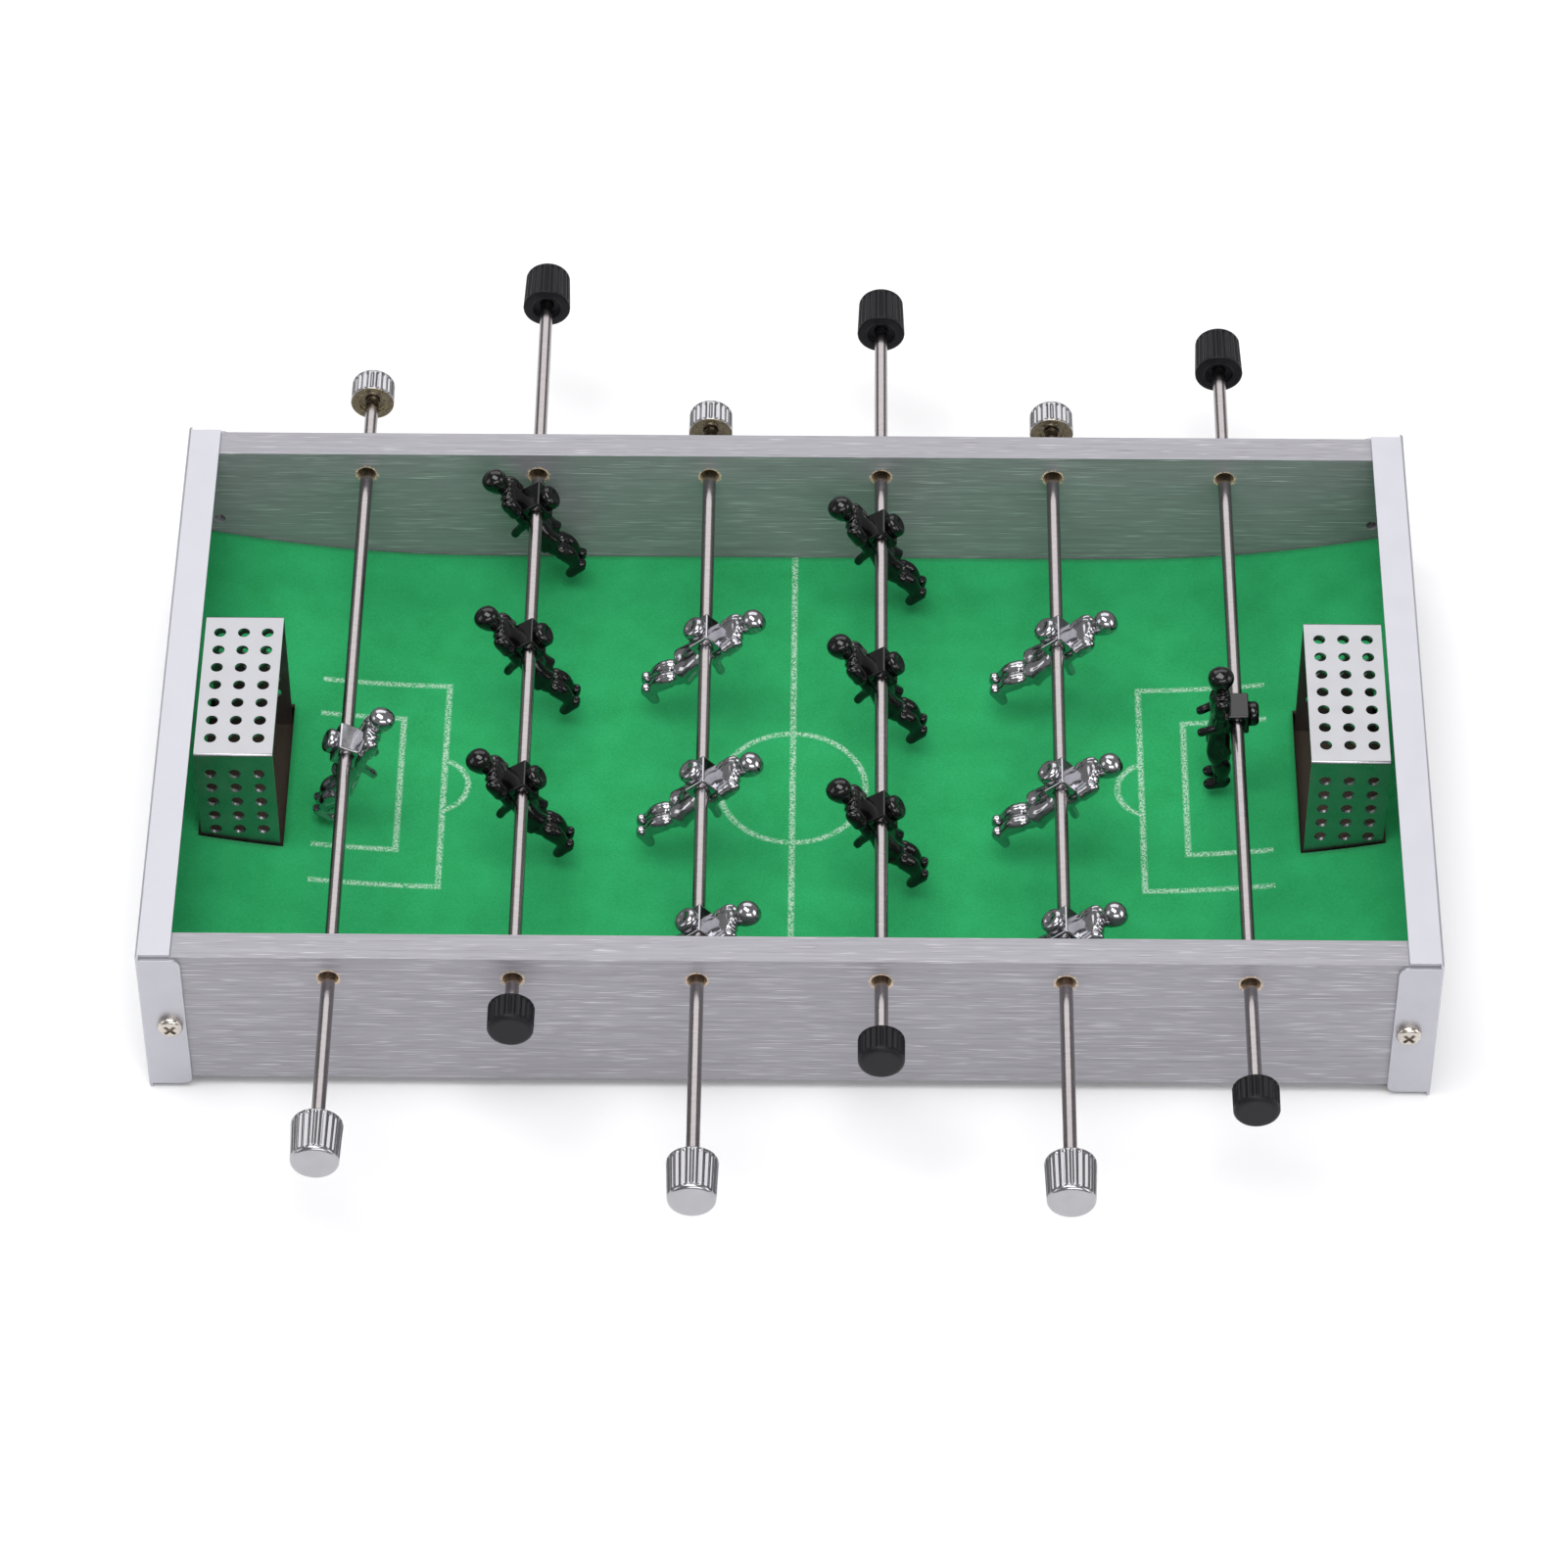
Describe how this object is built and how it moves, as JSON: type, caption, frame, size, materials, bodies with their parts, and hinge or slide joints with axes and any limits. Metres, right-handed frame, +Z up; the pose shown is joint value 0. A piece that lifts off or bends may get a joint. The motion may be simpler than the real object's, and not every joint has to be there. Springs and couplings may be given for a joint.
{
  "type": "tabletop foosball game",
  "caption": "Small tabletop foosball game: open box with green pitch, sliding rods that spin cast men, fluted grips and perforated goals.",
  "frame": {"origin": "middle of the footprint, at the underside of the end caps, with every rod as in the rest pose", "axes": "+X along the playing surface from the left goal to the right goal, +Y along the rods from the front to the back, +Z up"},
  "size_m": [0.2816, 0.2806, 0.0499],
  "materials": {
    "board_core": "raw fibreboard, brown",
    "laminate": "fibreboard faced with brushed silver laminate, streaks along the length",
    "cap_sheet": "thin folded sheet, smooth satin silver",
    "screw_steel": "nickel-plated cross-head screw",
    "turf": "thin board with a green flocked face and white printed lines",
    "goal_sheet": "bright perforated sheet",
    "bar_steel": "polished round bar",
    "cast_silver": "bright chrome plating on a one-piece cast figure",
    "cast_black": "glossy black one-piece figure",
    "grip_silver": "chrome-plated fluted grip with a brassy hollow inner face",
    "grip_black": "matte black fluted grip"
  },
  "bodies": {
    "table": {"base_board": "board_core", "front_wall": "laminate", "back_wall": "laminate", "left_end_cap": "cap_sheet", "right_end_cap": "cap_sheet", "cap_screws": "screw_steel", "pitch": "turf", "left_goal": "goal_sheet", "right_goal": "goal_sheet"},
    "bar_1": {"rod_1": "bar_steel"},
    "crew_1": {"man_1": "cast_silver", "handle_1": "grip_silver", "end_knob_1": "grip_silver"},
    "bar_2": {"rod_2": "bar_steel"},
    "crew_2": {"man_2_a": "cast_black", "man_2_b": "cast_black", "man_2_c": "cast_black", "handle_2": "grip_black", "end_knob_2": "grip_black"},
    "bar_3": {"rod_3": "bar_steel"},
    "crew_3": {"man_3_a": "cast_silver", "man_3_b": "cast_silver", "man_3_c": "cast_silver", "handle_3": "grip_silver", "end_knob_3": "grip_silver"},
    "bar_4": {"rod_4": "bar_steel"},
    "crew_4": {"man_4_a": "cast_black", "man_4_b": "cast_black", "man_4_c": "cast_black", "handle_4": "grip_black", "end_knob_4": "grip_black"},
    "bar_5": {"rod_5": "bar_steel"},
    "crew_5": {"man_5_a": "cast_silver", "man_5_b": "cast_silver", "man_5_c": "cast_silver", "handle_5": "grip_silver", "end_knob_5": "grip_silver"},
    "bar_6": {"rod_6": "bar_steel"},
    "crew_6": {"man_6": "cast_black", "handle_6": "grip_black", "end_knob_6": "grip_black"}
  },
  "joints": [
    {"name": "rod_1_slide", "type": "slide", "parent": "table", "child": "bar_1", "axis": [0, 1, 0], "range_m": [-0.0168, 0.0398]},
    {"name": "rod_1_spin", "type": "hinge", "parent": "bar_1", "child": "crew_1", "pos_m": [-0.0995, -0.0115, 0.0358], "axis": [0, 1, 0], "range_deg": [-240, 18]},
    {"name": "rod_2_slide", "type": "slide", "parent": "table", "child": "bar_2", "axis": [0, 1, 0], "range_m": [-0.0452, 0.0032]},
    {"name": "rod_2_spin", "type": "hinge", "parent": "bar_2", "child": "crew_2", "pos_m": [-0.0597, 0.021, 0.0358], "axis": [0, 1, 0], "continuous": true},
    {"name": "rod_3_slide", "type": "slide", "parent": "table", "child": "bar_3", "axis": [0, 1, 0], "range_m": [-0.0032, 0.0452]},
    {"name": "rod_3_spin", "type": "hinge", "parent": "bar_3", "child": "crew_3", "pos_m": [-0.0199, -0.021, 0.0358], "axis": [0, 1, 0], "continuous": true},
    {"name": "rod_4_slide", "type": "slide", "parent": "table", "child": "bar_4", "axis": [0, 1, 0], "range_m": [-0.037, 0.0114]},
    {"name": "rod_4_spin", "type": "hinge", "parent": "bar_4", "child": "crew_4", "pos_m": [0.0199, 0.0128, 0.0358], "axis": [0, 1, 0], "continuous": true},
    {"name": "rod_5_slide", "type": "slide", "parent": "table", "child": "bar_5", "axis": [0, 1, 0], "range_m": [-0.0036, 0.0448]},
    {"name": "rod_5_spin", "type": "hinge", "parent": "bar_5", "child": "crew_5", "pos_m": [0.0597, -0.0206, 0.0358], "axis": [0, 1, 0], "continuous": true},
    {"name": "rod_6_slide", "type": "slide", "parent": "table", "child": "bar_6", "axis": [0, 1, 0], "range_m": [-0.0283, 0.0283]},
    {"name": "rod_6_spin", "type": "hinge", "parent": "bar_6", "child": "crew_6", "pos_m": [0.0995, 0, 0.0358], "axis": [0, 1, 0], "range_deg": [-42, 218]}
  ]
}
